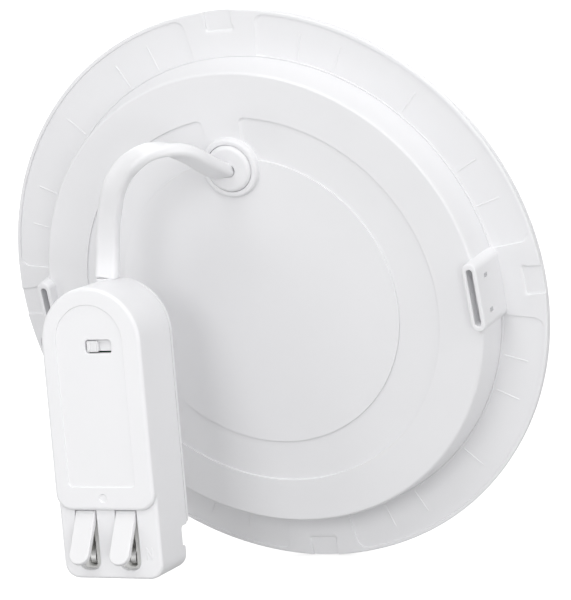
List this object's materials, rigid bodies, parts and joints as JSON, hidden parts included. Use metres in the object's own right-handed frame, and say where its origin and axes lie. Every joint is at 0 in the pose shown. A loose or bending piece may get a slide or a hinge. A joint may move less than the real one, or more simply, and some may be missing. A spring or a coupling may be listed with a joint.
{
  "type": "led ceiling panel",
  "caption": "Slim round recessed ceiling light seen from behind, with a separate driver on a short flat lead and push levers for the mains wires.",
  "frame": {"origin": "centre of the flange's rear face, the face that lies on the ceiling round the cut-out", "axes": "-Y points out of the panel's rear, +Y the way its light leaves, +Z from the centre to the lead's gland"},
  "size_m": [0.17, 0.0765, 0.17],
  "materials": {
    "white_housing": "satin moulded white",
    "white_trim": "satin moulded white",
    "white_driver": "fine matt moulded white",
    "white_lever": "smooth white",
    "white_cord": "soft white jacket",
    "opal": "opal diffuser",
    "white_film": "white reflector film",
    "white_board": "white lacquered board",
    "zinc_steel": "zinc plated",
    "spring_steel": "bright spring steel",
    "tinned_brass": "tinned",
    "cream_nylon": "cream nylon",
    "green_board": "lacquered circuit board",
    "black_plastic": "black moulded",
    "dark_ferrite": "fired ferrite",
    "winding_tape": "yellow tape",
    "blue_sleeve": "shrink sleeve",
    "film_yellow": "cast case",
    "wire_insulation": "red insulation"
  },
  "bodies": {
    "luminaire": {"rear_housing": "white_housing", "gland_bushing": "white_housing", "front_trim": "white_trim", "diffuser": "opal", "led_board": "white_board", "reflector": "white_film", "board_screw_1": "zinc_steel", "board_screw_2": "zinc_steel", "board_screw_3": "zinc_steel", "board_connector": "cream_nylon", "panel_cord_end": "white_cord", "cord_stop": "black_plastic", "panel_wire_left": "wire_insulation", "panel_wire_right": "wire_insulation", "driver_shell": "white_driver", "driver_back": "white_driver", "driver_cord_end": "white_cord", "output_wire_left": "wire_insulation", "output_wire_right": "wire_insulation", "terminal_insert": "cream_nylon", "busbar_left": "tinned_brass", "busbar_right": "tinned_brass", "clamp_spring_left": "spring_steel", "clamp_spring_right": "spring_steel", "input_wire_left": "wire_insulation", "input_wire_right": "wire_insulation", "driver_board": "green_board", "film_capacitor": "film_yellow", "bridge_rectifier": "black_plastic", "driver_chip": "black_plastic", "input_capacitor": "blue_sleeve", "output_capacitor": "blue_sleeve", "choke": "dark_ferrite", "fuse": "cream_nylon", "transformer_core": "dark_ferrite", "transformer_winding": "winding_tape", "switch_body": "zinc_steel", "flat_cord": "white_cord"},
    "lever_left": {"lever_left": "white_lever"},
    "lever_right": {"lever_right": "white_lever"},
    "colour_slider": {"cct_slider": "white_lever", "switch_post": "black_plastic"}
  },
  "joints": [
    {"name": "lever_left_pivot", "type": "hinge", "parent": "luminaire", "child": "lever_left", "pos_m": [-0.04006, -0.06087, -0.04309], "axis": [0.9991, 0.0312, -0.0283], "range_deg": [0, 29], "stiffness_Nm_per_rad": 0.02, "springref_deg": -17.19},
    {"name": "lever_right_pivot", "type": "hinge", "parent": "luminaire", "child": "lever_right", "pos_m": [-0.02722, -0.06047, -0.04346], "axis": [0.9991, 0.0312, -0.0283], "range_deg": [0, 29], "stiffness_Nm_per_rad": 0.02, "springref_deg": -17.19},
    {"name": "colour_slide", "type": "slide", "parent": "luminaire", "child": "colour_slider", "axis": [0.9991, 0.0312, -0.0283], "range_m": [0, 0.004]}
  ]
}
